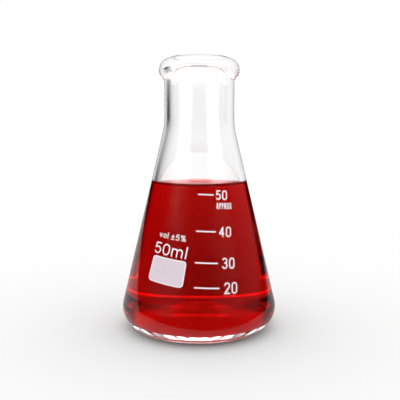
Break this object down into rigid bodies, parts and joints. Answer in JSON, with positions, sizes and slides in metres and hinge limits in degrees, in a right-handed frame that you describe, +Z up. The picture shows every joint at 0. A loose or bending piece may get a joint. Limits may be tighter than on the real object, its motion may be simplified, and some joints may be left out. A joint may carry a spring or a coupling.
{
  "type": "erlenmeyer flask",
  "caption": "Conical glass laboratory flask with a beaded rim, a fired white volume scale and writing field, part filled with red liquid.",
  "frame": {"origin": "centre of the base on the flask's axis, in the plane it stands on", "axes": "+Z up along the flask's axis, -Y towards the printed scale's side, +X to the right of someone reading the scale"},
  "size_m": [0.051, 0.051, 0.0881],
  "materials": {
    "clear_glass": "clear fire-polished borosilicate glass",
    "red_liquid": "clear deep red dye in water",
    "white_enamel": "fired white ceramic enamel, half gloss",
    "pale_enamel": "thin matt white enamel that takes pencil, with the filling showing through a little"
  },
  "bodies": {
    "root": {"flask_glass": "clear_glass", "red_liquid": "red_liquid", "graduation_50": "white_enamel", "graduation_40": "white_enamel", "graduation_30": "white_enamel", "graduation_20": "white_enamel", "capacity_mark": "white_enamel", "tolerance_mark": "white_enamel", "marking_spot": "pale_enamel", "marking_spot_outline": "white_enamel"}
  },
  "joints": []
}
